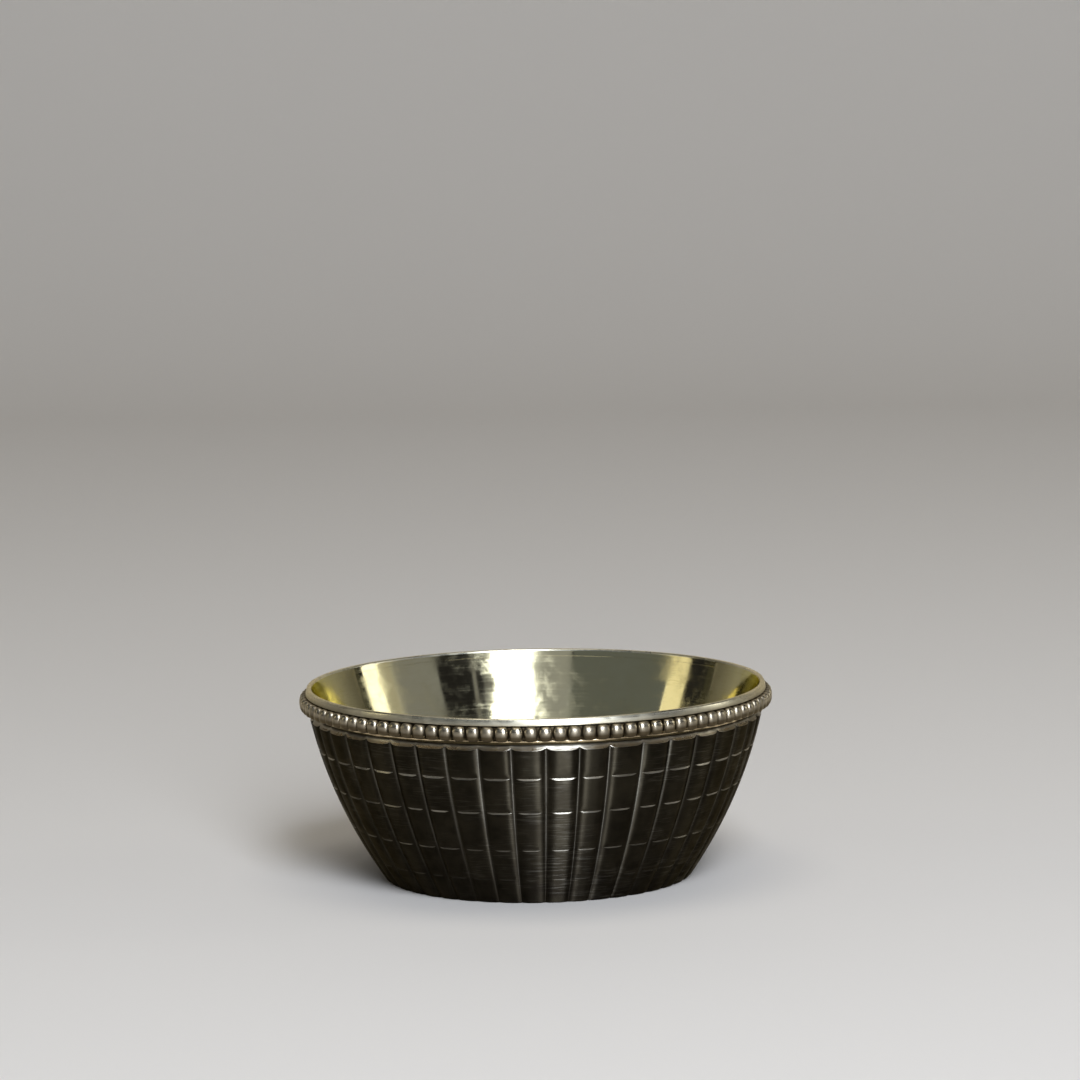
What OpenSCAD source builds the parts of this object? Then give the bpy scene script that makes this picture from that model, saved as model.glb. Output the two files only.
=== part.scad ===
// Small brass offering bowl: a lobed, notched wall under a beaded rim.
// The bowl stands on the XY plane with its axis on +Z; all sizes are in millimetres.

/* [Bowl] */
// Height from the table to the top of the lip
bowl_h = 36.9; // [30:0.1:46]
// Inner diameter of the mouth, at the lip's inner edge
mouth_d = 85.2; // [70:0.1:102]
// Diameter over the lobes where the wall meets the table
base_d = 58.3; // [50:0.1:68]
// How far the wall's outline bows out past a straight line from base to shoulder
wall_bulge = 1.65; // [1.2:0.05:2.2]
// Level width of the ledge, from the neck ring's foot to the crown of a lobe
ledge_w = 0.7; // [0.65:0.05:1.4]
// Slope of the ledge from end to end, in degrees below level
ledge_slope = 55; // [15:1:60]
// How far the ledge is hollowed out below a straight slope
ledge_hollow = 0.18; // [0.02:0.02:0.24]

/* [Inside] */
// Thickness of the floor over the standing face
floor_t = 2.6; // [2:0.1:4]
// How far the foot of the inner wall lies inside the base's outline
foot_wall = 0.85; // [0.4:0.05:3]
// How far the inner wall bows out past a straight line
inner_bulge = 0.9; // [0.6:0.05:1.2]
// Radius of the fillet between the floor and the inner wall
floor_fillet = 7; // [3:0.5:9]
// Thickness of the plain rim wall, measured level
rim_wall = 0.6; // [0.5:0.05:0.65]

/* [Lobes] */
// Number of lobes round the wall
lobes = 43; // [36:1:48]
// Radius of a lobe's rounded face
lobe_r = 9; // [6.6:0.1:12]
// Depth of a notch, as a share of the lobe's own depth there
notch_depth_share = 0.5; // [0.3:0.05:0.7]
// Slope of a notch's lower face, in degrees below level
notch_slope = 48; // [40:1:60]

/* [Rim] */
// Height of the lip above its seam with the rim wall
lip_h = 1.3; // [1:0.05:1.9]
// Width of the lip at its foot
lip_foot_w = 1.5; // [1.3:0.05:1.8]
// Width of the lip at its top, from the mouth's edge to the outer corner
lip_top_w = 0.9; // [0.5:0.05:1.1]
// Width of the bevel on the lip's inner corner
lip_bevel_w = 0.2; // [0.1:0.05:0.3]
// Height of the bevel on the lip's inner corner
lip_bevel_h = 0.35; // [0.2:0.05:0.5]
// Number of beads round the rim
beads = 104; // [100:1:106]
// Diameter of a bead
bead_d = 2.8; // [2.4:0.05:3.2]
// How far the beads' centres stand out past the face of their backing strip
bead_out = 0.32; // [0.1:0.01:0.6]
// Height of the beads' flat backing strip
backing_h = 2.3; // [1.6:0.1:2.6]
// Thickness of the backing strip at its middle
backing_w = 0.8; // [0.6:0.05:1.4]
// How deep a bead's flat root is let into the backing strip
bead_root = 0.3; // [0.1:0.05:0.35]
// Thickness of the neck ring under the beads
neck_w = 0.5; // [0.4:0.05:0.7]
// Height of the neck ring
neck_h = 0.75; // [0.6:0.05:1.6]

/* [Underside] */
// Depth of the turned hollow in the underside
hollow_depth = 0.8; // [0.4:0.1:1]
// Width of the ring that the bowl stands on
standing_w = 4.6; // [3:0.1:8]
// Level width of the hollow's sloping edge
hollow_slope_w = 2; // [0.5:0.1:3]

/* [Hidden] */
$fn = 128;
bead_faces = 36;
// Film of solder between two pieces of the rim
solder_gap = 0.05;
// How far a cutter runs past what it cuts
overrun = 1;
// Heights of the four notch rows, as shares of the shoulder's height
notch_z_shares = [0.165, 0.362, 0.608, 0.826];
// Straight steps that follow the inner wall and the fillet at its foot
wall_steps = 24;
fillet_steps = 8;
// How far a lobe runs into its neighbour, and how far the core lies under the lobes
bay_spare_share = 0.06;
core_depth = 2;

base_r = base_d / 2;
mouth_r = mouth_d / 2;
lobe_turn = 360 / lobes;
bead_turn = 360 / beads;

// Points on the flat: the first number is the distance from the axis, the second the height.
// A bow is an arc that leaves a straight line between two points by the bulge at its middle.
function bow_radius(low, high, bulge) =
    let (half = norm(high - low) / 2)
    (half * half + bulge * bulge) / (2 * bulge);
function bow_centre(low, high, bulge) =
    let (along = (high - low) / norm(high - low))
    (low + high) / 2 + (bow_radius(low, high, bulge) - bulge) * [-along.y, along.x];
function arc_x(centre, radius, z) =
    centre.x + sqrt(radius * radius - (z - centre.y) * (z - centre.y));

// Heights in the rim, from the top down: lip, beads, neck ring, and the seat it stands on
mouth_z = bowl_h - lip_bevel_h;
lip_z = bowl_h - lip_h;
rim_top = lip_z - solder_gap;
bead_z = rim_top - bead_d / 2;
neck_top = bead_z - bead_d / 2 - solder_gap;
neck_z = neck_top - neck_h;
seat_z = neck_z - solder_gap;

// Inner outline, from the floor to the lower edge of the lip's inner bevel
inner_low = [base_r - foot_wall, floor_t];
inner_high = [mouth_r, mouth_z];
inner_radius = bow_radius(inner_low, inner_high, inner_bulge);
inner_centre = bow_centre(inner_low, inner_high, inner_bulge);
function inner_x(z) = arc_x(inner_centre, inner_radius, z);

// The rim wall's outer face leans out in a straight line, and the rings of the rim seat on it
function rim_x(z) =
    let (rise = (z - seat_z) / (rim_top - seat_z))
    inner_x(seat_z) * (1 - rise) + inner_x(rim_top) * rise + rim_wall;
function seat_x(z) = rim_x(z) + solder_gap;
strip_x = seat_x(bead_z) + backing_w;
bead_ring_r = strip_x + bead_out;

// The ledge falls from the neck ring's foot to the shoulder in a hollow arc, the cove
neck_x = seat_x(neck_z) + neck_w;
shoulder_r = neck_x + ledge_w;
shoulder_z = seat_z - ledge_w * tan(ledge_slope);
cove_radius = bow_radius([neck_x, seat_z], [shoulder_r, shoulder_z], ledge_hollow);
cove_centre = bow_centre([neck_x, seat_z], [shoulder_r, shoulder_z], ledge_hollow);

// Outer outline, over the crowns of the lobes
outer_low = [base_r, 0];
outer_high = [shoulder_r, shoulder_z];
outer_radius = bow_radius(outer_low, outer_high, wall_bulge);
outer_centre = bow_centre(outer_low, outer_high, wall_bulge);
function crown_x(z) = arc_x(outer_centre, outer_radius, z);
function lobe_half(z) = crown_x(z) * sin(lobe_turn / 2);
function lobe_depth(z) = lobe_r - sqrt(lobe_r * lobe_r - lobe_half(z) * lobe_half(z));

module turned(angle = 360) {
    rotate_extrude(angle = angle) children();
}

// One lobe: a round bar bent along the wall's outline, trimmed to its share of the round.
// It runs past the table and the ledge, which are cut once all the lobes are joined.
module lobe() {
    foot_angle = atan2(-outer_centre.y, base_r - outer_centre.x);
    top_angle = atan2(shoulder_z - outer_centre.y, shoulder_r - outer_centre.x);
    spare_angle = atan(3 * overrun / outer_radius);
    spare_turn = lobe_turn * bay_spare_share;
    inside_x = base_r / 2;
    outside_x = shoulder_r + overrun;
    intersection() {
        translate([outer_centre.x, 0, outer_centre.y])
            rotate([90, 0, 0])
                rotate([0, 0, foot_angle - spare_angle])
                    turned(top_angle - foot_angle + 2 * spare_angle)
                        translate([outer_radius - lobe_r, 0])
                            circle(lobe_r);
        rotate([0, 0, -lobe_turn / 2 - spare_turn])
            turned(lobe_turn + 2 * spare_turn)
                polygon([
                    [inside_x, -overrun],
                    [outside_x, -overrun],
                    [outside_x, seat_z + overrun],
                    [inside_x, seat_z + overrun]
                ]);
    }
}

// The plain turned bowl behind the lobes, flared above them for the rim wall
module core() {
    flare_z = seat_z + overrun / 2;
    turned()
        polygon([
            [0, -overrun],
            [base_r - core_depth, -overrun],
            [neck_x - core_depth, flare_z],
            [shoulder_r + overrun, flare_z],
            [shoulder_r + overrun, rim_top],
            [0, rim_top]
        ]);
}

// What is turned away over the hollow ledge, round the outside of the rim wall
module over_ledge() {
    outside_x = shoulder_r + 2 * overrun;
    turned() {
        translate(cove_centre)
            circle(cove_radius);
        polygon([
            [rim_x(seat_z), seat_z],
            [cove_centre.x, seat_z],
            [cove_centre.x, shoulder_z],
            [outside_x, shoulder_z],
            [outside_x, rim_top + overrun],
            [rim_x(rim_top + overrun), rim_top + overrun]
        ]);
    }
}

// A row of notches: one turned groove, level above and sloping below, that meets only the crowns
module notch_row(z) {
    root_x = crown_x(z) - notch_depth_share * lobe_depth(z);
    turned()
        polygon([
            [root_x, z],
            [root_x + overrun, z],
            [root_x + overrun, z - overrun * tan(notch_slope)]
        ]);
}

// The hollow of the bowl: a flat floor, a fillet and the bowed inner wall
module inside() {
    fillet_z = floor_t + floor_fillet;
    fillet_x = arc_x(inner_centre, inner_radius - floor_fillet, fillet_z);
    wall_angle = atan2(fillet_z - inner_centre.y, fillet_x - inner_centre.x);
    wall_foot_z = inner_centre.y + inner_radius * sin(wall_angle);
    fillet = [
        for (i = [0 : fillet_steps])
            let (turn = -90 + (wall_angle + 90) * i / fillet_steps)
            [fillet_x, fillet_z] + floor_fillet * [cos(turn), sin(turn)]
    ];
    wall = [
        for (i = [1 : wall_steps])
            let (z = wall_foot_z + (mouth_z - wall_foot_z) * i / wall_steps)
            [inner_x(z), z]
    ];
    turned()
        polygon(concat(
            [[0, floor_t]],
            fillet,
            wall,
            [[mouth_r, bowl_h + overrun], [0, bowl_h + overrun]]
        ));
}

// What is turned away under the bowl: level with the table, and hollow inside the standing ring
module underside() {
    edge_x = base_r - standing_w;
    outside_x = shoulder_r + overrun;
    turned()
        polygon([
            [0, -2 * overrun],
            [outside_x, -2 * overrun],
            [outside_x, 0],
            [edge_x, 0],
            [edge_x - hollow_slope_w, hollow_depth],
            [0, hollow_depth]
        ]);
}

module bowl_body() {
    color("#b89a58")
        difference() {
            union() {
                core();
                for (i = [0 : lobes - 1])
                    rotate([0, 0, i * lobe_turn])
                        lobe();
            }
            for (share = notch_z_shares)
                notch_row(share * shoulder_z);
            over_ledge();
            inside();
            underside();
        }
}

// A plain collar that stands on the ledge round the rim wall
module neck_ring() {
    color("#a8843f")
        turned()
            polygon([
                [seat_x(neck_z), neck_z],
                [neck_x, neck_z],
                [seat_x(neck_top) + neck_w, neck_top],
                [seat_x(neck_top), neck_top]
            ]);
}

// A round bead, cut flat where it is let into the backing strip
module bead() {
    root_x = strip_x - bead_root;
    intersection() {
        translate([bead_ring_r, 0, bead_z])
            sphere(d = bead_d, $fn = bead_faces);
        translate([root_x, -bead_d, bead_z - bead_d])
            cube([2 * bead_d, 2 * bead_d, 2 * bead_d]);
    }
}

// The strip behind the beads: one flat face for each bead, and a back that fits the rim wall
module backing_strip() {
    low = bead_z - backing_h / 2;
    high = bead_z + backing_h / 2;
    corner_x = strip_x / cos(bead_turn / 2);
    difference() {
        translate([0, 0, low])
            linear_extrude(backing_h)
                polygon([
                    for (i = [0 : beads - 1])
                        let (turn = (i + 1 / 2) * bead_turn)
                        corner_x * [cos(turn), sin(turn)]
                ]);
        turned()
            polygon([
                [0, low - overrun],
                [seat_x(low - overrun), low - overrun],
                [seat_x(high + overrun), high + overrun],
                [0, high + overrun]
            ]);
    }
}

// Beads that run into each other like a beaded wire, on their strip
module beaded_wire() {
    color("#d0b878") {
        backing_strip();
        for (i = [0 : beads - 1])
            rotate([0, 0, i * bead_turn])
                bead();
    }
}

// The plain lip that closes the top of the rim wall and the beads
module lip_ring() {
    color("#dcc88c")
        turned()
            polygon([
                [inner_x(lip_z), lip_z],
                [inner_x(lip_z) + lip_foot_w, lip_z],
                [mouth_r + lip_top_w, bowl_h],
                [mouth_r + lip_bevel_w, bowl_h],
                [mouth_r, mouth_z]
            ]);
}

bowl_body();
neck_ring();
beaded_wire();
lip_ring();
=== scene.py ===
# %% [markdown]
# # A lobed brass offering bowl
#
# This lesson dresses a small brass bowl whose solids are already made at their real size. The solids
# fix where everything is. Here the bowl gets what they lack: soft edges, lobes that a hand has spaced
# a little unevenly, notches that differ from lobe to lobe, and the finish of old polished brass.
#
# The frame comes first. It is loaded once.

# %% Load the frame
import math

import bpy
import numpy as np
from mathutils import Matrix, Vector


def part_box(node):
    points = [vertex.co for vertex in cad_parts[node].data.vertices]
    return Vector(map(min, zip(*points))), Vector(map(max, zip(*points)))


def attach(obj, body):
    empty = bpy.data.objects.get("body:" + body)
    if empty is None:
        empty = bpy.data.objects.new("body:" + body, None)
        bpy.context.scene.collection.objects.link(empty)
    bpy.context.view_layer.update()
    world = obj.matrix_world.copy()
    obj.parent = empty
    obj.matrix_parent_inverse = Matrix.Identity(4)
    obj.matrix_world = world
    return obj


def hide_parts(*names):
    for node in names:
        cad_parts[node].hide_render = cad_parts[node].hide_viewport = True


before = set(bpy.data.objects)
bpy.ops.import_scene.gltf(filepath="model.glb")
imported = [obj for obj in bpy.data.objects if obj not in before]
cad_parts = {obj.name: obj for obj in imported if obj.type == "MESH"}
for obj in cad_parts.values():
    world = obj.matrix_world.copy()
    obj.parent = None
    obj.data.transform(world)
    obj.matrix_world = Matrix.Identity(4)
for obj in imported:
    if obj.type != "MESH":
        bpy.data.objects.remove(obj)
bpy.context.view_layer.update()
MM = 0.001

# %% [markdown]
# The camera stands where the photographer stood: most of a metre away, looking down at the bowl by
# about seven degrees and tilted by one, through a long lens. A long lens keeps the mouth's oval flat.
# The three axes of the camera are worked out from those angles and written into its matrix, because
# that leaves nothing to guess about the order of the turns.

# %% The camera
camera_distance = 0.891
camera_height = 0.1761
look_down = math.radians(7.163)
tilt = math.radians(-0.974)
swing = math.radians(0.086)

forward = Vector((
    math.sin(swing) * math.cos(look_down),
    math.cos(swing) * math.cos(look_down),
    -math.sin(look_down),
))
level_right = Vector((math.cos(swing), -math.sin(swing), 0))
level_up = level_right.cross(forward)
right = math.cos(tilt) * level_right + math.sin(tilt) * level_up
up = math.cos(tilt) * level_up - math.sin(tilt) * level_right

lens = bpy.data.cameras.new("camera")
lens.sensor_width = 36
lens.lens = 157.9
camera = bpy.data.objects.new("camera", lens)
bpy.context.scene.collection.objects.link(camera)
turn = Matrix((right, up, -forward)).transposed().to_4x4()
camera.matrix_world = Matrix.Translation((0, -camera_distance, camera_height)) @ turn
bpy.context.scene.camera = camera
print("the camera is", camera_distance, "m in front of the axis and", camera_height, "m up")

# %% [markdown]
# The heights of the pieces and the width over the beads are read from the frame. The rest are the
# sizes that its solids were drawn with, typed in again, so they change only when they are changed here.

# %% Sizes of the bowl
body_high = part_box("bowl_body")[1]
neck_low, neck_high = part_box("neck_ring")
bead_low, bead_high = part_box("beaded_wire")
lip_low, lip_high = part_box("lip_ring")

lobe_count = 43
bead_count = 104
base_r = 29.15 * MM
wall_bulge = 1.65 * MM
floor_t = 2.6 * MM
foot_wall = 0.85 * MM
inner_bulge = 0.9 * MM
floor_fillet = 7.0 * MM
mouth_r = 42.6 * MM
lip_bevel_h = 0.35 * MM
mouth_z = lip_high.z - lip_bevel_h
rim_top = body_high.z
rim_wall = 0.6 * MM
neck_w = 0.5 * MM
ledge_w = 0.7 * MM
ledge_slope = math.radians(55)
ledge_hollow = 0.18 * MM
solder_gap = 0.05 * MM
hollow_depth = 0.8 * MM
standing_w = 4.6 * MM
hollow_slope_w = 2.0 * MM


def bow(low, high, bulge):
    """Centre and radius of the arc that leaves the line from low to high by bulge at its middle."""
    low, high = np.array(low), np.array(high)
    half = np.linalg.norm(high - low) / 2
    along = (high - low) / (2 * half)
    radius = (half * half + bulge * bulge) / (2 * bulge)
    return (low + high) / 2 + (radius - bulge) * np.array([-along[1], along[0]]), radius


def arc_x(arc, z):
    """How far out the arc lies at height z."""
    centre, radius = arc
    return centre[0] + np.sqrt(radius**2 - (z - centre[1]) ** 2)


inner_arc = bow((base_r - foot_wall, floor_t), (mouth_r, mouth_z), inner_bulge)
seat_z = neck_low.z - solder_gap


def rim_x(z):
    """The outer face of the plain rim wall, which leans out in a straight line."""
    rise = (z - seat_z) / (rim_top - seat_z)
    return arc_x(inner_arc, seat_z) * (1 - rise) + arc_x(inner_arc, rim_top) * rise + rim_wall


neck_x = rim_x(neck_low.z) + solder_gap + neck_w
shoulder_r = neck_x + ledge_w
shoulder_z = seat_z - ledge_w * math.tan(ledge_slope)
outer_arc = bow((base_r, 0), (shoulder_r, shoulder_z), wall_bulge)
cove = bow((neck_x, seat_z), (shoulder_r, shoulder_z), ledge_hollow)
print("wall at mid height", round((arc_x(outer_arc, 0.016) - arc_x(inner_arc, 0.016)) / MM, 2), "mm")

# %% [markdown]
# ## Helpers for node trees
#
# Both the geometry trees and the material trees are built by hand here. One small helper adds a node,
# sets its options and fills its inputs: a socket is linked, and anything else is typed in.

# %% Helpers for node trees
def put(tree, kind, inputs=None, **options):
    """Adds a node; inputs maps a socket's name or number to a socket to link or a value to set."""
    node = tree.nodes.new(kind)
    for name, value in options.items():
        setattr(node, name, value)
    for key, value in (inputs or {}).items():
        socket = node.inputs[key]
        if isinstance(value, bpy.types.NodeSocket):
            tree.links.new(value, socket)
        else:
            socket.default_value = value
    return node


def calc(tree, operation, *values):
    """One step of arithmetic on sockets or numbers."""
    return put(tree, "ShaderNodeMath", dict(enumerate(values)), operation=operation).outputs[0]


def geometry_tree(name, inputs):
    """A Geometry Nodes tree with one geometry in, one out, and named inputs of the given types."""
    tree = bpy.data.node_groups.new(name, "GeometryNodeTree")
    tree.interface.new_socket("Geometry", in_out="INPUT", socket_type="NodeSocketGeometry")
    for label, kind in inputs.items():
        tree.interface.new_socket(label, in_out="INPUT", socket_type="NodeSocket" + kind)
    tree.interface.new_socket("Geometry", in_out="OUTPUT", socket_type="NodeSocketGeometry")
    return tree, put(tree, "NodeGroupInput").outputs


def run_tree(obj, tree, values):
    """Runs the tree on the object as a modifier, and keeps the result as a plain mesh."""
    modifier = obj.modifiers.new("tree", "NODES")
    modifier.node_group = tree
    for item in tree.interface.items_tree:
        if item.in_out == "INPUT" and item.name in values:
            modifier[item.identifier] = values[item.name]
    obj.update_tag()
    graph = bpy.context.evaluated_depsgraph_get()
    mesh = bpy.data.meshes.new_from_object(
        obj.evaluated_get(graph), preserve_all_data_layers=True, depsgraph=graph,
    )
    obj.modifiers.remove(modifier)
    obj.data = mesh
    print(obj.name, "has", len(mesh.polygons), "faces")
    return obj


def new_object(name, vertices, faces):
    """A mesh object at the origin, linked to the scene."""
    mesh = bpy.data.meshes.new(name)
    mesh.from_pydata([tuple(v) for v in vertices], [], faces)
    obj = bpy.data.objects.new(name, mesh)
    bpy.context.scene.collection.objects.link(obj)
    return obj

# %% [markdown]
# ## The finish of the brass
#
# Pale brass reflects like a mirror that swallows a little of the blue. Seen once it looks almost
# silver; where the bowl mirrors itself, the colour is taken twice and turns a strong yellow. So the
# colour is left to the metal shader, and the tree adds what turning, polishing and handling leave:
# fine level lines, soft smudges and a film of tarnish. It also paints shade into the colour, so that
# every part grows darker towards the bottom. The outside has a dark skin, partly tarnish and partly a
# painted reflection of a dark surround. The creases and the notches are bright: partly bare metal,
# where the tool that cut them went through the skin, and partly a painted highlight. Painted shade
# dims them towards the base.
#
# Level polishing lines spread a reflection up and down but not sideways. That is why the lobes carry
# upright streaks of light. The anisotropic setting makes them, with a tangent that runs round the
# axis. All patterns read Object coordinates, so they stay put on the metal from every side.

# %% Brass
# Heights over which painted shade dims the bright cuts and creases towards the base.
painted_shade_below = (2 * MM, 24 * MM)


def brass(
    name, clean, tarnish_and_shade_colour, tarnish_and_shade_amount, roughness, relief,
    brushed=0.0, bright=None, rubbed_and_highlight=None, scratches=0.0, haze=0.10, dents=0.0,
    edge_tint=(1.0, 0.93, 0.75), climb_out=False,
):
    """
    Brass with a clean colour and a darker one, which stands for tarnish and also for painted shade;
    the number after them says how much of the darker one shows, in patches of tarnish and as painted
    shade that darkens the colour towards the bottom. Bright is the colour of metal without its skin,
    which is half as rough. Where an area for hands is given, it shows where hands rub, starting
    between that area's two heights and two distances from the axis; on the beads this is also a
    painted highlight on their upper front. Otherwise it follows the marks of the mesh, where a tool
    has cut and along the creases, and there it is partly a painted highlight; painted shade dims it
    towards the base. Scratches is how much of it shows in the turning lines, haze is how far smudges
    blur the polish, and dents is how deep the small hammered unevenness is.
    """
    material = bpy.data.materials.new(name)
    material.use_nodes = True
    tree = material.node_tree
    shader = tree.nodes["Principled BSDF"]
    place = put(tree, "ShaderNodeTexCoord").outputs["Object"]
    parts = put(tree, "ShaderNodeSeparateXYZ", {0: place}).outputs
    level = put(tree, "ShaderNodeCombineXYZ", {0: parts[0], 1: parts[1]}).outputs[0]
    out = put(tree, "ShaderNodeVectorMath", {0: level}, operation="LENGTH").outputs["Value"]
    climb = calc(tree, "ADD", out, parts[2]) if climb_out else parts[2]

    def lines(pitch, length, detail):
        """Noise drawn out round the bowl, as high as a turning line's pitch and as long as length."""
        stretched = put(tree, "ShaderNodeCombineXYZ", {
            0: calc(tree, "MULTIPLY", parts[0], 1 / length),
            1: calc(tree, "MULTIPLY", parts[1], 1 / length),
            2: calc(tree, "MULTIPLY", climb, 1 / pitch),
        }).outputs[0]
        return put(tree, "ShaderNodeTexNoise", {
            "Vector": stretched, "Scale": 1.0, "Detail": detail, "Roughness": 0.6,
        }).outputs[0]

    def blotches(size, detail):
        """Soft patches about as wide as size."""
        return put(tree, "ShaderNodeTexNoise", {
            "Vector": place, "Scale": 1 / size, "Detail": detail, "Roughness": 0.55,
        }).outputs[0]

    def ramp(value, low, high, end=1.0):
        """0 below low, end above high, and straight between."""
        return put(tree, "ShaderNodeMapRange", {0: value, 1: low, 2: high, 4: end}).outputs[0]

    def marked(mark):
        return put(tree, "ShaderNodeAttribute", attribute_name=mark).outputs["Fac"]

    def mixed(factor, first, second):
        """Two colours mixed; the first may be a socket."""
        mix = put(tree, "ShaderNodeMix", {"Factor": factor}, data_type="RGBA")
        for socket, value in zip((s for s in mix.inputs if s.type == "RGBA"), (first, second)):
            if isinstance(value, bpy.types.NodeSocket):
                tree.links.new(value, socket)
            else:
                socket.default_value = (*value, 1)
        return next(o for o in mix.outputs if o.type == "RGBA")

    fine = lines(0.22 * MM, 14 * MM, 3.0)
    coarse = lines(0.9 * MM, 30 * MM, 2.0)
    smudge = ramp(blotches(9 * MM, 4.0), 0.42, 0.72)
    film = ramp(blotches(3 * MM, 5.0), 0.35, 0.75)
    # Painted shade: the colour grows darker from 26 mm down to 2 mm above the base.
    painted_low_shade = ramp(calc(tree, "MULTIPLY", parts[2], -1.0), -26 * MM, -2 * MM, 0.7)
    # The darker colour mixes in as patches of tarnish, as smudges and as this painted shade.
    tarnish_and_low_shade = calc(tree, "MULTIPLY", calc(tree, "ADD", calc(tree, "MULTIPLY", film, 0.5), painted_low_shade), tarnish_and_shade_amount)
    tarnish_and_low_shade = calc(tree, "MINIMUM", calc(tree, "ADD", tarnish_and_low_shade, calc(tree, "MULTIPLY", smudge, 0.18)), 1.0)
    colour = mixed(tarnish_and_low_shade, clean, tarnish_and_shade_colour)
    if rubbed_and_highlight:
        heights, distances = rubbed_and_highlight
        # Bare where hands rub; on the beads this is also a painted highlight on the upper front, and the
        # darker lower part is partly painted shade.
        bare_and_highlight = calc(tree, "MULTIPLY", ramp(parts[2], *heights), ramp(out, *distances))
        bare_and_highlight = calc(tree, "MULTIPLY", bare_and_highlight, ramp(film, 1.6, 0.2))
        colour = mixed(bare_and_highlight, colour, bright)
    elif bright:
        # Bare metal along the cuts and the creases, which is partly a painted highlight there.
        bare_and_highlight = calc(tree, "MAXIMUM", marked("crease"), marked("cut"))
        bare_and_highlight = calc(tree, "MULTIPLY", bare_and_highlight, ramp(blotches(6 * MM, 3.0), 0.2, 0.6))
        bare_and_highlight = calc(tree, "MINIMUM", bare_and_highlight, 1.0)
        # Painted shade: the bright metal dims towards the base.
        bare_and_highlight = calc(tree, "MULTIPLY", bare_and_highlight, ramp(parts[2], *painted_shade_below))
        colour = mixed(bare_and_highlight, colour, bright)
    if scratches:
        thin = ramp(lines(0.2 * MM, 4 * MM, 4.0), 0.52, 0.66, scratches)
        thin = calc(tree, "MULTIPLY", thin, ramp(blotches(11 * MM, 2.0), 0.42, 0.6))
        colour = mixed(thin, colour, bright or tarnish_and_shade_colour)
    tree.links.new(colour, shader.inputs["Base Color"])

    patchy = calc(tree, "ADD", smudge, ramp(blotches(3 * MM, 4.0), 0.5, 0.62, 0.6))
    rough = calc(tree, "ADD", roughness, calc(tree, "MULTIPLY", patchy, haze))
    rough = calc(tree, "ADD", rough, ramp(fine, 0.45, 0.7, 0.06))
    if bright:
        rough = calc(tree, "SUBTRACT", rough, calc(tree, "MULTIPLY", bare_and_highlight, roughness / 2))
    tree.links.new(rough, shader.inputs["Roughness"])

    height = calc(tree, "ADD", fine, calc(tree, "MULTIPLY", coarse, 2.5))
    if dents:
        dent = calc(tree, "MULTIPLY", blotches(0.8 * MM, 3.0), dents / relief)
        height = calc(tree, "ADD", height, dent)
    bump = put(tree, "ShaderNodeBump", {"Height": height, "Strength": 1.0, "Distance": relief})
    tree.links.new(bump.outputs[0], shader.inputs["Normal"])
    shader.inputs["Metallic"].default_value = 1.0
    shader.inputs["Specular Tint"].default_value = (*edge_tint, 1)
    if brushed:
        round_the_bowl = put(tree, "ShaderNodeTangent", direction_type="RADIAL", axis="Z").outputs[0]
        tree.links.new(round_the_bowl, shader.inputs["Tangent"])
        shader.inputs["Anisotropic"].default_value = brushed
        shader.inputs["Anisotropic Rotation"].default_value = 0.25
    return material


# The outside's dark colour is partly tarnish and partly a painted reflection of a dark surround; its
# bright cuts and creases are partly painted highlight.
outer_brass = brass(
    "outer_brass", (0.045, 0.038, 0.025), (0.017, 0.0135, 0.0095), 0.8, 0.46, 0.004 * MM,
    brushed=1.0, bright=(0.56, 0.52, 0.43), scratches=0.10, edge_tint=(0.55, 0.52, 0.46),
)
inner_brass = brass(
    "inner_brass", (0.83, 0.76, 0.49), (0.56, 0.46, 0.20), 0.3, 0.05, 0.0008 * MM,
    scratches=0.35, haze=0.12, edge_tint=(0.95, 0.92, 0.45), climb_out=True,
)
lip_brass = brass(
    "lip_brass", (0.42, 0.37, 0.26), (0.20, 0.16, 0.09), 0.4, 0.42, 0.0012 * MM,
    bright=(0.84, 0.79, 0.62), rubbed_and_highlight=((35.7 * MM, 36.5 * MM), (0, 1 * MM)),
    scratches=0.4, dents=0.006 * MM, edge_tint=(1.0, 0.88, 0.6), climb_out=True,
)
# The beads' dark brown is partly tarnish and partly a painted reflection of a dark surround; their bare
# upper front is also a painted highlight.
bead_brass = brass(
    "bead_brass", (0.105, 0.080, 0.047), (0.04, 0.029, 0.016), 0.7, 0.38, 0.0006 * MM,
    bright=(0.58, 0.51, 0.38), rubbed_and_highlight=((33.6 * MM, 34.8 * MM), (43.9 * MM, 44.6 * MM)),
    dents=0.011 * MM,
)
neck_brass = brass("neck_brass", (0.07, 0.055, 0.028), (0.035, 0.025, 0.012), 0.8, 0.30, 0.001 * MM)
solder = brass(
    "solder", (0.74, 0.60, 0.38), (0.12, 0.075, 0.035), 1.3, 0.22, 0.001 * MM, dents=0.008 * MM,
)
finishes = (outer_brass, inner_brass, lip_brass, bead_brass, neck_brass, solder)
print("finishes:", [material.name for material in finishes])

# %% [markdown]
# ## The wall, one lobe at a time
#
# The real wall was cut or cast lobe by lobe, and the model is made the same way. One slice of the
# bowl is drawn as a mesh: a wedge with one lobe on its outside, running from the middle of the floor
# up the inside, over the rim wall, down across the ledge and the lobe, and back under the base to the
# middle. A tree then sets 43 of them round the axis and joins them.
#
# A lobe needs many columns of faces and the plain inside needs few, so the slice has a fine part and
# a coarse part. They meet under the rings and under the base, where a strip joins two fine columns
# to one coarse one. A notch's tool reaches a little past the depth of its row, and what the lobe has
# already fallen there is taken off, so a notch is deepest at the crown and runs out at its ends.
# These lobes are a little deeper than those of the solids, with flatter faces and narrower creases.

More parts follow.
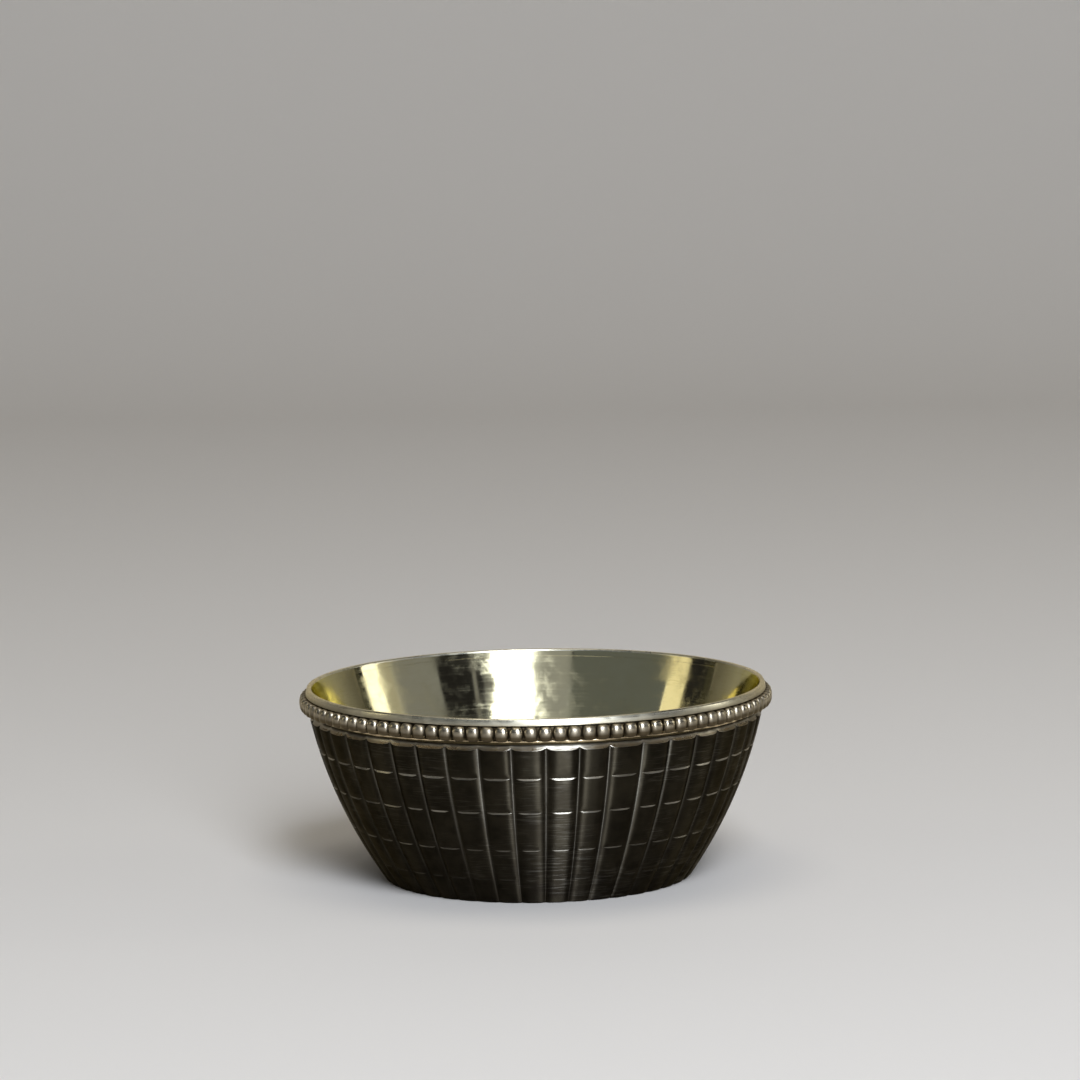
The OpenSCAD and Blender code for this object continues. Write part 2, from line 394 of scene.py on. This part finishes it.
# %% The columns and rows of a slice
half_turn = math.pi / lobe_count
half_columns = [0, 0.09, 0.18, 0.27, 0.36, 0.46, 0.56, 0.66, 0.76, 0.85, 0.92, 0.965, 1]
columns = np.array([-u for u in half_columns[:0:-1]] + half_columns)
crease_start = 0.955
lobe_power = 4
top_depth = 0.66 * MM
base_depth = 0.46 * MM
base_round = 0.3 * MM
edge_round = 0.14 * MM
notch_shares = [0.165, 0.362, 0.608, 0.826]
notch_depths = [0.15 * MM, 0.20 * MM, 0.24 * MM, 0.28 * MM]
notch_slope = math.radians(48)
notch_reach = 1.25
notch_steps = 6
notch_top_gap = 0.03 * MM
row_pitch = 1.1 * MM


def lobe_fall(u):
    """How far a lobe's face has fallen from its crown, as a share of its depth, with a round crease."""
    u = np.abs(u)
    past = np.maximum(u - crease_start, 0)
    steepness = lobe_power * crease_start ** (lobe_power - 1)
    round_off = steepness / (2 * (1 - crease_start)) * past**2
    crease = crease_start**lobe_power + steepness * past - round_off
    return np.where(u < crease_start, u**lobe_power, crease)


def lobe_sag(u, z):
    depth = base_depth + (top_depth - base_depth) * np.clip(z / shoulder_z, 0, 1)
    return depth * lobe_fall(u)


def wall_x(u, z):
    return arc_x(outer_arc, z) - lobe_sag(u, z)


def ledge_z(x):
    """The height of the hollow ledge, which is part of a circle, at distance x."""
    centre, radius = cove
    return centre[1] - np.sqrt(radius**2 - (x - centre[0]) ** 2)


def wall_edge(u):
    """Where the lobed wall meets the ledge, found by a few rounds of guessing."""
    z = np.full_like(u, shoulder_z)
    for _ in range(8):
        z = ledge_z(wall_x(u, z))
    return wall_x(u, z), z


def outer_rows():
    """Rows of the fine part from the base up to the top of the rim wall."""
    rows = []
    flat = np.zeros_like(columns)

    def add(x, z, groove=0.0, notch=-1, bare_and_highlight=None):
        rows.append((x + flat, z + flat, groove, notch, bare_and_highlight))

    for step in range(5):
        lean = math.pi / 2 * step / 4
        z = base_round * (1 - math.cos(lean))
        add(wall_x(columns, z) - base_round * (1 - math.sin(lean)), z)
    z = base_round
    for notch, (share, depth) in enumerate(zip(notch_shares, notch_depths)):
        top = share * shoulder_z
        foot = top - depth * math.tan(notch_slope) * notch_reach
        count = max(2, round((foot - z) / row_pitch))
        for at in np.linspace(z, foot, count + 1)[1:]:
            add(wall_x(columns, at), at)
        for step in range(1, notch_steps + 1):
            at = foot + (top - foot) * step / notch_steps
            add(wall_x(columns, at), at, depth * notch_reach * step / notch_steps, notch)
        z = top + notch_top_gap
        add(wall_x(columns, z), z, 0.0, notch)

    edge_x, edge_z = wall_edge(columns)
    for step in range(1, 6):
        at = z + (edge_z - edge_round - z) * step / 5
        add(wall_x(columns, at), at)
    centre, radius = cove
    edge_angle = np.arctan2(edge_z - centre[1], edge_x - centre[0]) - edge_round / radius
    top_angle = math.atan2(seat_z - centre[1], neck_x - centre[0])
    start = (wall_x(columns, edge_z - edge_round), edge_z - edge_round)
    end = (centre[0] + radius * np.cos(edge_angle), centre[1] + radius * np.sin(edge_angle))
    for t in (0.25, 0.5, 0.75, 1.0):
        blend = ((1 - t) ** 2, 2 * t * (1 - t), t**2)
        edge = (edge_x, edge_z)
        point = [blend[0] * start[k] + blend[1] * edge[k] + blend[2] * end[k] for k in (0, 1)]
        add(*point, bare_and_highlight=None if t < 0.6 else 2.0)
    for t, bare_and_highlight in ((0.2, 2.0), (0.4, 2.0), (0.6, 1.2), (0.8, 0.4), (1.0, 0.1)):
        angle = edge_angle + (top_angle - edge_angle) * t
        add(centre[0] + radius * np.cos(angle), centre[1] + radius * np.sin(angle), bare_and_highlight=bare_and_highlight)
    add(rim_x(seat_z), seat_z, bare_and_highlight=0.0)
    add(rim_x(rim_top), rim_top, bare_and_highlight=0.0)
    return rows


def inner_rows():
    """Rows of the coarse part from the top of the rim wall down to the middle of the floor."""
    corner_z = floor_t + floor_fillet
    centre, radius = inner_arc
    corner_x = centre[0] + math.sqrt((radius - floor_fillet) ** 2 - (corner_z - centre[1]) ** 2)
    wall_turn = math.atan2(corner_z - centre[1], corner_x - centre[0])
    wall_foot = centre[1] + radius * math.sin(wall_turn)
    heights = [rim_top, *np.linspace(rim_top - 0.04 * MM, wall_foot, 24)]
    rows = [(arc_x(inner_arc, z), z) for z in heights]
    for lean in np.linspace(wall_turn, -math.pi / 2, 13)[1:]:
        rows.append((corner_x + floor_fillet * math.cos(lean), corner_z + floor_fillet * math.sin(lean)))
    rows += [(corner_x * share, floor_t) for share in (0.75, 0.5, 0.25, 0.08)]
    return rows


def under_rows():
    """Rows of the coarse part from the standing ring to the middle of the hollow under the base."""
    edge = base_r - standing_w
    inner_edge = edge - hollow_slope_w
    rows = [(base_r - 2 * MM, 0), (edge + 0.3 * MM, 0), (edge, 0.03 * MM)]
    rows += [(inner_edge, hollow_depth - 0.04 * MM), (inner_edge - 0.4 * MM, hollow_depth)]
    rows += [(inner_edge * share, hollow_depth) for share in (0.75, 0.5, 0.25, 0.08)]
    return rows

# %% [markdown]
# The rows become one mesh. Each point also carries what the tree and the brass will need: how far the
# lobe has fallen there, how deep a notch would reach, which row of notches it belongs to, and whether
# a tool has cut it bright, which along the creases is partly a painted highlight. The notches are not
# cut yet, because each lobe's notches are to differ.

# %% The slice
# The creases are marked bright: partly bare metal, partly a painted highlight.
crease_brightness = 0.22
crease_bright_from = 0.90
crease_bright_over = 0.05


def at_turn(x, z, u):
    """A point of the slice, u half lobes round from the slice's middle."""
    turn_to = np.asarray(u) * half_turn
    height = np.broadcast_to(z, np.shape(turn_to))
    return np.stack([x * np.cos(turn_to), x * np.sin(turn_to), height], axis=-1)


def make_slice():
    points, faces = [], []
    names = ("sag", "groove", "notch", "crease", "inside")
    marks = {name: [] for name in names}

    def add_row(x, z, us, **values):
        start = len(points)
        points.extend(at_turn(x, z, us))
        for name in names:
            marks[name].extend(np.broadcast_to(values.get(name, 0.0), len(us)))
        return list(range(start, start + len(us)))

    def quads(low, high):
        """Faces between two rows that have the same columns."""
        faces.extend([a, b, d, c] for a, b, c, d in zip(low, low[1:], high, high[1:]))

    def join(fine, coarse):
        """Faces from a fine row to a coarse one, two columns to one."""
        for k in range(len(coarse) - 1):
            a, b, c = fine[2 * k : 2 * k + 3]
            faces.extend([[a, b, coarse[k]], [b, c, coarse[k + 1]], [b, coarse[k + 1], coarse[k]]])

    few = columns[::2]
    outer = []
    near_crease = np.clip((np.abs(columns) - crease_bright_from) / crease_bright_over, 0, 1)
    crease = crease_brightness * near_crease
    for x, z, groove, notch, bare_and_highlight in outer_rows():
        outer.append(add_row(
            x, z, columns, groove=groove, notch=notch, sag=lobe_sag(columns, z),
            crease=crease if bare_and_highlight is None else bare_and_highlight,
        ))
    for low, high in zip(outer, outer[1:]):
        quads(low, high)
    inner = [add_row(x, z, few, inside=1.0) for x, z in inner_rows()]
    join(outer[-1], inner[0])
    for low, high in zip(inner, inner[1:]):
        quads(low, high)
    under = [add_row(x, z, few) for x, z in under_rows()]
    join(outer[0][::-1], under[0][::-1])
    for low, high in zip(under, under[1:]):
        quads(low[::-1], high[::-1])
    for row, z, inside in ((inner[-1], floor_t, 1.0), (under[-1], hollow_depth, 0.0)):
        middle = add_row(0, z, np.array([0.0]), inside=inside)[0]
        ring = row if inside else row[::-1]
        faces.extend([a, b, middle] for a, b in zip(ring, ring[1:]))
    piece = new_object("lobed_wall", points, faces)
    for name, values in marks.items():
        mark = piece.data.attributes.new(name, "FLOAT", "POINT")
        mark.data.foreach_set("value", np.array(values, np.float32))
    return piece


wall = make_slice()
print("a slice has", len(wall.data.polygons), "faces")

# %% [markdown]
# Now the tree. It sets the slices round the axis, numbers them, and merges the points that neighbours
# share. Then it does by rule what the maker's hand did by feel: it shifts the creases round the bowl
# by at most 1.6 degrees, cuts each notch to its own depth, and lets the surface wander by at most
# 0.015 mm, so that reflections in the lobes aren't all alike. The wandering fades out between 31 and
# 35 mm up, where the rings of the rim have to fit.

# %% The tree that goes round the bowl
weld_distance = 0.002 * MM
shift_pace = 4.0
full_bright_cut = 0.03 * MM
wave_length = 7 * MM
still_base_z = 1.0 * MM
calm_from, calm_to = 31 * MM, 35 * MM


def noise(tree, place, scale, detail=1.0):
    """Soft noise between about -0.5 and 0.5."""
    inputs = {"Vector": place, "Scale": scale, "Detail": detail}
    return calc(tree, "SUBTRACT", put(tree, "ShaderNodeTexNoise", inputs).outputs[0], 0.5)


def vector_scaled(tree, vector, factor):
    return put(tree, "ShaderNodeVectorMath", {0: vector, "Scale": factor}, operation="SCALE").outputs[0]


def round_the_axis(tree, geometry, count, number_name):
    """Instances of the geometry, turned evenly about the Z axis and numbered."""
    line = put(tree, "GeometryNodeMeshLine", {"Count": count, "Offset": (0, 0, 0)}).outputs[0]
    index = put(tree, "GeometryNodeInputIndex").outputs[0]
    angle = calc(tree, "DIVIDE", calc(tree, "MULTIPLY", index, 2 * math.pi), count)
    turned = put(tree, "ShaderNodeCombineXYZ", {2: angle}).outputs[0]
    turned = put(tree, "FunctionNodeEulerToRotation", {0: turned}).outputs[0]
    copies = put(tree, "GeometryNodeInstanceOnPoints", {
        "Points": line, "Instance": geometry, "Rotation": turned,
    }).outputs[0]
    return put(tree, "GeometryNodeStoreNamedAttribute", {
        "Geometry": copies, "Name": number_name, "Value": index,
    }, data_type="INT", domain="INSTANCE").outputs[0]


def named(tree, name, kind="FLOAT"):
    return put(tree, "GeometryNodeInputNamedAttribute", {"Name": name}, data_type=kind).outputs[0]


def above(tree, value, limit):
    return put(tree, "FunctionNodeCompare", {
        0: value, 1: limit,
    }, data_type="FLOAT", operation="GREATER_THAN").outputs[0]


def wall_tree():
    tree, given = geometry_tree("lobes_round_the_bowl", {
        "Lobes": "Int", "Unevenness": "Float", "Notch spread": "Float", "Waviness": "Float",
        "Seed": "Int", "Outside": "Material", "Inside": "Material",
    })
    ring = round_the_axis(tree, given["Geometry"], given["Lobes"], "lobe")
    joined = put(tree, "GeometryNodeRealizeInstances", {0: ring}).outputs[0]
    joined = put(tree, "GeometryNodeMergeByDistance", {
        "Geometry": joined, "Distance": weld_distance,
    }).outputs[0]

    place = put(tree, "GeometryNodeInputPosition").outputs[0]
    x, y, z = put(tree, "ShaderNodeSeparateXYZ", {0: place}).outputs
    level = put(tree, "ShaderNodeCombineXYZ", {0: x, 1: y}).outputs[0]
    outward = put(tree, "ShaderNodeVectorMath", {0: level}, operation="NORMALIZE").outputs[0]

    swing_by = calc(tree, "MULTIPLY", noise(tree, outward, shift_pace), given["Unevenness"])
    turned = put(tree, "ShaderNodeVectorRotate", {
        "Vector": place, "Angle": swing_by,
    }, rotation_type="Z_AXIS").outputs[0]
    shifted = put(tree, "GeometryNodeSetPosition", {
        "Geometry": joined, "Position": turned,
    }).outputs[0]

    groove, sag, notch = named(tree, "groove"), named(tree, "sag"), named(tree, "notch")
    which = calc(tree, "ADD", calc(tree, "MULTIPLY", named(tree, "lobe", "INT"), 7.0), notch)
    spread = put(tree, "FunctionNodeRandomValue", {
        "Min": calc(tree, "SUBTRACT", 1.0, given["Notch spread"]), "Max": 1.0,
        "ID": which, "Seed": given["Seed"],
    }, data_type="FLOAT").outputs["Value"]
    cut = calc(tree, "SUBTRACT", calc(tree, "MULTIPLY", groove, spread), sag)
    cut = calc(tree, "MAXIMUM", cut, 0.0)
    # The notch cuts are marked bright: bare metal, partly a painted highlight.
    bright = calc(tree, "MINIMUM", calc(tree, "DIVIDE", cut, full_bright_cut), 1.0)
    noted = put(tree, "GeometryNodeStoreNamedAttribute", {
        "Geometry": shifted, "Name": "cut", "Value": bright,
    }, data_type="FLOAT", domain="POINT").outputs[0]
    inward = vector_scaled(tree, outward, calc(tree, "MULTIPLY", cut, -1.0))
    notched = put(tree, "GeometryNodeSetPosition", {"Geometry": noted, "Offset": inward}).outputs[0]

    normal = put(tree, "GeometryNodeInputNormal").outputs[0]
    clear_of_base = above(tree, z, still_base_z)
    calm = put(tree, "ShaderNodeMapRange", {0: z, 1: calm_from, 2: calm_to, 3: 1.0, 4: 0.0}).outputs[0]
    sway = calc(tree, "MULTIPLY", noise(tree, place, 1 / wave_length, 2.0), given["Waviness"])
    drift = vector_scaled(tree, normal, calc(tree, "MULTIPLY", sway, calm))
    wavy = put(tree, "GeometryNodeSetPosition", {
        "Geometry": notched, "Selection": clear_of_base, "Offset": drift,
    }).outputs[0]

    smooth = put(tree, "GeometryNodeSetShadeSmooth", {0: wavy}).outputs[0]
    whole = put(tree, "GeometryNodeRealizeInstances", {0: smooth}).outputs[0]
    coated = put(tree, "GeometryNodeSetMaterial", {
        "Geometry": whole, "Material": given["Outside"],
    }).outputs[0]
    is_inside = above(tree, named(tree, "inside"), 0.6)
    coated = put(tree, "GeometryNodeSetMaterial", {
        "Geometry": coated, "Selection": is_inside, "Material": given["Inside"],
    }).outputs[0]
    put(tree, "NodeGroupOutput", {0: coated})
    return tree


wall = run_tree(wall, wall_tree(), {
    "Lobes": lobe_count, "Unevenness": math.radians(3.2), "Notch spread": 0.75,
    "Waviness": 0.03 * MM, "Seed": 3, "Outside": outer_brass, "Inside": inner_brass,
})
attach(wall, "root")
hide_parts("bowl_body")

# %% [markdown]
# ## Rings of the rim
#
# The neck ring, the strip behind the beads and the lip were turned or drawn as plain sections, so
# each is a short closed outline spun round the axis. A rounded corner is five points in place of
# one: at this size a corner catches light as a thin bright line, and a sharp one would catch none.
# The inner face of the lip was polished together with the bowl, so it gets the bowl's inside finish.

# %% Rings turned from an outline
ring_columns = 416
longest_share = 0.32
flat_guard = 1.35
neck_waist = 0.8
lip_foot_w = 1.5 * MM
lip_top_w = 0.9 * MM
lip_bevel_w = 0.16 * MM
lip_middle_z = 36.0 * MM


def rounded(corners, radius):
    """
    A closed outline with its corners rounded. A corner is (x, z), or (x, z, radius) for its own
    radius. Each becomes five points: three on the round, and one on either side that keeps the flats
    flat. A round takes at most the longest share of the side next to it.
    """
    outline = []
    for k, (x, z, *own) in enumerate(corners):
        corner = Vector((x, z))
        size = own[0] if own else radius
        back = Vector(corners[k - 1][:2]) - corner
        ahead = Vector(corners[(k + 1) % len(corners)][:2]) - corner
        back *= min(size, back.length * longest_share) / back.length
        ahead *= min(size, ahead.length * longest_share) / ahead.length
        outline.append(corner + flat_guard * back)
        outline += [corner + (1 - t) ** 2 * back + t**2 * ahead for t in (0.0, 0.5, 1.0)]
        outline.append(corner + flat_guard * ahead)
    return outline


def ripple(angle, slowest):
    """An uneven wave round the bowl, between about -1 and 1."""
    waves = [(1, 1.0, 0.4), (2.33, 0.6, 2.0), (5.33, 0.5, 0.7), (11.67, 0.35, 3.1)]
    total = sum(
        share * math.sin(round(pace * slowest) * angle + lag) for pace, share, lag in waves
    )
    return total / 1.8


def spun(name, outline, wander=0.0, swell=0.0):
    """
    The outline, (distance, height) anticlockwise, spun round the axis. Wander lets it run up and
    down, and swell lets it grow and shrink about its middle by a share of its size.
    """
    count = len(outline)
    middle = sum(outline, Vector((0, 0))) / count
    points, faces = [], []
    for step in range(ring_columns):
        angle = 2 * math.pi * step / ring_columns
        drift = wander * ripple(angle, 3)
        size = 1 + swell * ripple(angle, 8)
        for corner in outline:
            x, z = middle + (corner - middle) * size
            points.append((x * math.cos(angle), x * math.sin(angle), z + drift))
    for step in range(ring_columns):
        here, there = step * count, (step + 1) % ring_columns * count
        for k in range(count):
            n = (k + 1) % count
            faces.append((here + k, there + k, there + n, here + n))
    ring = new_object(name, points, faces)
    ring.data.shade_smooth()
    return ring


def finish_ring(ring, material, node):
    ring.data.materials.append(material)
    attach(ring, "root")
    if node:
        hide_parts(node)


neck_top = neck_high.z
neck_middle = (neck_low.z + neck_top) / 2
neck = spun("neck_ring_turned", rounded([
    (rim_x(neck_low.z) + solder_gap, neck_low.z),
    (neck_x, neck_low.z),
    (rim_x(neck_middle) + solder_gap + neck_waist * neck_w, neck_middle),
    (rim_x(neck_top) + solder_gap + neck_w, neck_top),
    (rim_x(neck_top) + solder_gap, neck_top),
], 0.1 * MM))
finish_ring(neck, neck_brass, "neck_ring")

lip = spun("lip_turned", rounded([
    (arc_x(inner_arc, rim_top), rim_top, 0.01 * MM),
    (arc_x(inner_arc, lip_low.z) + lip_foot_w, lip_low.z),
    (mouth_r + lip_top_w, lip_high.z, 0.3 * MM),
    (mouth_r + lip_bevel_w, lip_high.z, 0.2 * MM),
    (mouth_r, mouth_z, 0.2 * MM),
    (arc_x(inner_arc, lip_middle_z), lip_middle_z, 0.01 * MM),
], 0.1 * MM))
finish_ring(lip, lip_brass, "lip_ring")
lip.data.materials.append(inner_brass)
for face in lip.data.polygons:
    face.material_index = int(face.center.xy.length < mouth_r)
print("the neck ring has", len(neck.data.polygons), "faces, the lip", len(lip.data.polygons))

# %% [markdown]
# The beads were soldered on. A little solder ran out under them and set as an uneven, shiny line, so
# this ring's outline wanders up and down and grows and shrinks as it goes round.

# %% The line of solder
solder_in, solder_out = neck_x + 0.35 * MM, neck_x + 1.12 * MM
solder_top = neck_top + 0.14 * MM
solder_line = spun("solder_line", rounded([
    (solder_in, neck_top - 0.30 * MM),
    (solder_out, neck_top - 0.20 * MM),
    (solder_out, solder_top),
    (solder_in, solder_top),
], 0.2 * MM), wander=0.07 * MM, swell=0.6)
finish_ring(solder_line, solder, None)
print("the line of solder has", len(solder_line.data.polygons), "faces")

# %% [markdown]
# ## The beaded wire
#
# Beaded wire is rolled between toothed dies: each bead is a little taller than it is wide, with a
# round top and a blunt foot, and pinched where it meets the next. One bead is made from a ball whose
# curves are slightly squared, the way the dies leave it. A tree sets 104 of them on the ring and
# gives each a trace of its own size and lean, and the flat strip behind them joins in the same mesh.
# Their brass is bare on the upper front, where hands rub it, and this is also a painted highlight there;
# their dark brown is partly tarnish and partly painted shade.

# %% One bead
bead_d = bead_high.z - bead_low.z
bead_ring_r = bead_high.x - bead_d / 2
bead_z = (bead_high.z + bead_low.z) / 2
bead_turn = 2 * math.pi / bead_count
bead_lean = 0.07
strip_half_h = 1.15 * MM
beads_past_strip = 1.72 * MM


def make_bead():
    """A ball of 18 by 12 faces with a round top and a blunt foot, at its place in the ring."""
    around, rings = 18, 12
    half = Vector((bead_d / 2, bead_ring_r * bead_turn * 0.505, bead_d / 2))

    def squared(value, power):
        return math.copysign(abs(value) ** power, value)

    points = []
    for ring in range(1, rings):
        tip = math.pi * ring / rings
        wide = squared(math.sin(tip), 0.48 if ring < rings / 2 else 0.40)
        high = squared(math.cos(tip), 0.85)
        for step in range(around):
            turn_to = 2 * math.pi * step / around
            x, y = wide * squared(math.cos(turn_to), 0.8), wide * squared(math.sin(turn_to), 0.68)
            points.append((bead_ring_r + half.x * x, half.y * y, bead_z + half.z * high))
    top, foot = len(points), len(points) + 1
    points += [(bead_ring_r, 0, bead_z + half.z), (bead_ring_r, 0, bead_z - half.z)]
    faces = []
    for ring in range(rings - 2):
        for step in range(around):
            a, b = ring * around + step, ring * around + (step + 1) % around
            faces.append((a, a + around, b + around, b))
    last = (rings - 2) * around
    for step in range(around):
        after = (step + 1) % around
        faces.append((top, step, after))
        faces.append((last + step, foot, last + after))
    return new_object("bead", points, faces)


# %% The tree that sets the beads
def bead_tree():
    tree, given = geometry_tree("beads_round_the_rim", {
        "Bead": "Object", "Beads": "Int", "Size spread": "Float", "Start": "Float",
        "Seed": "Int", "Brass": "Material",
    })
    bead = put(tree, "GeometryNodeObjectInfo", {"Object": given["Bead"]}).outputs["Geometry"]
    centre = Vector((bead_ring_r, 0, bead_z))
    at_origin = put(tree, "GeometryNodeTransform", {
        "Geometry": bead, "Translation": -centre,
    }).outputs[0]
    index = put(tree, "GeometryNodeInputIndex").outputs[0]
    angle = calc(tree, "DIVIDE", calc(tree, "MULTIPLY", index, 2 * math.pi), given["Beads"])
    angle = calc(tree, "ADD", angle, given["Start"])
    line = put(tree, "GeometryNodeMeshLine", {
        "Count": given["Beads"], "Offset": (0, 0, 0),
    }).outputs[0]
    spot = put(tree, "ShaderNodeCombineXYZ", {
        0: calc(tree, "MULTIPLY", calc(tree, "COSINE", angle), bead_ring_r),
        1: calc(tree, "MULTIPLY", calc(tree, "SINE", angle), bead_ring_r),
        2: bead_z,
    }).outputs[0]
    spots = put(tree, "GeometryNodeSetPosition", {"Geometry": line, "Position": spot}).outputs[0]
    lean = put(tree, "FunctionNodeRandomValue", {
        "Min": -bead_lean, "Max": bead_lean, "Seed": given["Seed"],
    }, data_type="FLOAT").outputs["Value"]
    turned = put(tree, "ShaderNodeCombineXYZ", {0: lean, 2: angle}).outputs[0]
    turned = put(tree, "FunctionNodeEulerToRotation", {0: turned}).outputs[0]
    least = calc(tree, "SUBTRACT", 1.0, given["Size spread"])
    smallest = put(tree, "ShaderNodeCombineXYZ", {0: least, 1: least, 2: least}).outputs[0]
    size = put(tree, "FunctionNodeRandomValue", {
        0: smallest, 1: (1.0, 1.0, 1.0), "Seed": given["Seed"],
    }, data_type="FLOAT_VECTOR").outputs[0]
    beads = put(tree, "GeometryNodeInstanceOnPoints", {
        "Points": spots, "Instance": at_origin, "Rotation": turned, "Scale": size,
    }).outputs[0]
    both = put(tree, "GeometryNodeJoinGeometry")
    tree.links.new(beads, both.inputs[0])
    tree.links.new(given["Geometry"], both.inputs[0])
    whole = put(tree, "GeometryNodeRealizeInstances", {0: both.outputs[0]}).outputs[0]
    smooth = put(tree, "GeometryNodeSetShadeSmooth", {0: whole}).outputs[0]
    coated = put(tree, "GeometryNodeSetMaterial", {
        "Geometry": smooth, "Material": given["Brass"],
    }).outputs[0]
    put(tree, "NodeGroupOutput", {0: coated})
    return tree


strip_low, strip_high = bead_z - strip_half_h, bead_z + strip_half_h
strip_x = bead_high.x - beads_past_strip
beads = spun("beads_on_their_strip", rounded([
    (rim_x(strip_low) + solder_gap, strip_low),
    (strip_x, strip_low),
    (strip_x, strip_high),
    (rim_x(strip_high) + solder_gap, strip_high),
], 0.1 * MM))
bead = make_bead()
beads = run_tree(beads, bead_tree(), {
    "Bead": bead, "Beads": bead_count, "Size spread": 0.05, "Start": math.radians(-1.3),
    "Seed": 5, "Brass": bead_brass,
})
bpy.data.objects.remove(bead)
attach(beads, "root")
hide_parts("beaded_wire")

# %% [markdown]
# ## The stage
#
# A plain pale sheet lies under the bowl, runs up high behind it and turns up a little all round, so
# that a view from any side has a pale surround. One tall soft lamp, the window, stands behind the
# camera, to its right and well above it: it draws the bright band down the inside of the bowl and
# the small lights on the beads. A mirror-like bowl shows whatever stands round it, so the other
# lamps are there to be mirrored. Weak haze and a narrow door frame stand beside the window. Weak
# cards give the inside its calm grey. Two brighter reflectors at the sides give the yellow bands,
# and the gaps between them all leave the dark stripes that make metal look like metal. A lamp
# overhead lights the table, and the world fills in only a little.

# %% Table and backdrop
def plain(name, colour, roughness):
    material = bpy.data.materials.new(name)
    material.use_nodes = True
    shader = material.node_tree.nodes["Principled BSDF"]
    shader.inputs["Base Color"].default_value = (*colour, 1)
    shader.inputs["Roughness"].default_value = roughness
    return material


def upturn(bend, top):
    """How far out and up an edge of the sheet goes: a quarter of a circle, then straight up."""
    leans = [math.pi / 2 * step / 12 for step in range(1, 13)]
    return [(bend * math.sin(lean), bend * (1 - math.cos(lean))) for lean in leans] + [(bend, top)]


def make_backdrop():
    """A sheet that lies flat under the bowl, curves up high behind it and a little all round."""
    front, flat_back, half_width = -3.0, 0.9, 3.0
    high, low = upturn(0.5, 2.2), upturn(0.3, 0.6)
    rows = [(front - out, up) for out, up in reversed(low)]
    rows += [(front, 0.0), (0.0, 0.0), (flat_back, 0.0)]
    rows += [(flat_back + out, up) for out, up in high]
    columns = [(half_width, 0.0)] + [(half_width + out, up) for out, up in low]
    columns = [(-x, lift) for x, lift in reversed(columns)] + columns
    points = [(x, y, z + lift) for y, z in rows for x, lift in columns]
    count = len(columns)
    corners = [row * count + column for row in range(len(rows) - 1) for column in range(count - 1)]
    sheet = new_object("backdrop", points, [(k, k + 1, k + count + 1, k + count) for k in corners])
    sheet.data.shade_smooth()
    sheet.data.materials.append(plain("pale_paper", (0.77, 0.72, 0.65), 0.8))
    print("the backdrop has", len(sheet.data.polygons), "faces")


make_backdrop()

# %% Lamps and world
def soft_lamp(name, azimuth, elevation, distance, size, glow, colour=(1, 1, 1)):
    """
    A soft lamp that faces the bowl; azimuth turns to the camera's right, 0 being over the camera.
    Glow is how bright its face looks, where 1 is white.
    """
    lamp = bpy.data.lights.new(name, "AREA")
    lamp.color = colour
    lamp.shape = "RECTANGLE"
    lamp.size, lamp.size_y = size
    lamp.energy = glow * math.pi * size[0] * size[1]
    obj = bpy.data.objects.new(name, lamp)
    bpy.context.scene.collection.objects.link(obj)
    turn_to, lift = math.radians(azimuth), math.radians(elevation)
    level = math.cos(lift)
    place = Vector((math.sin(turn_to) * level, -math.cos(turn_to) * level, math.sin(lift)))
    obj.location = place * distance
    obj.rotation_euler = place.to_track_quat("Z", "Y").to_euler()


soft_lamp("window", 13.6, 30, 1.3, (0.365, 1.2), 15, (0.89, 0.97, 1.12))
soft_lamp("haze beside the window", -9, 34, 1.35, (0.50, 0.8), 0.30, (0.92, 0.98, 1.1))
soft_lamp("left card", -52, 34, 1.5, (1.5, 0.9), 0.11, (0.88, 1.0, 1.08))
soft_lamp("left reflector", -87, 22, 1.4, (0.30, 0.6), 0.95, (1.0, 0.93, 0.66))
soft_lamp("right card", 72, 28, 1.4, (0.66, 0.8), 0.21, (0.95, 1.0, 1.12))
soft_lamp("warm side of the right card", 90, 26, 1.35, (0.20, 0.7), 0.38, (1.0, 0.98, 0.85))
soft_lamp("right reflector", 101, 18, 1.3, (0.26, 0.6), 1.9, (1.0, 1.0, 0.92))
soft_lamp("far right card", 129, 20, 1.4, (0.95, 0.6), 0.04, (1.0, 0.97, 0.62))
soft_lamp("haze on the window's right", 26, 34, 1.35, (0.19, 0.8), 0.10, (0.95, 0.98, 1.1))
soft_lamp("door frame", 36, 34, 1.35, (0.045, 0.8), 0.2, (0.95, 0.98, 1.1))
soft_lamp("far left card", -122, 20, 1.4, (0.7, 0.6), 0.03, (1.0, 0.95, 0.5))
soft_lamp("overhead", 0, 86, 1.6, (1.2, 0.9), 1.6, (1.03, 1.0, 0.93))

world = bpy.data.worlds.new("room")
world.use_nodes = True
world.node_tree.nodes["Background"].inputs["Color"].default_value = (0.015, 0.015, 0.017, 1)
world.node_tree.nodes["Background"].inputs["Strength"].default_value = 1.0
bpy.context.scene.world = world
bpy.context.scene.view_settings.view_transform = "Standard"
print(len(bpy.data.lights), "lamps")
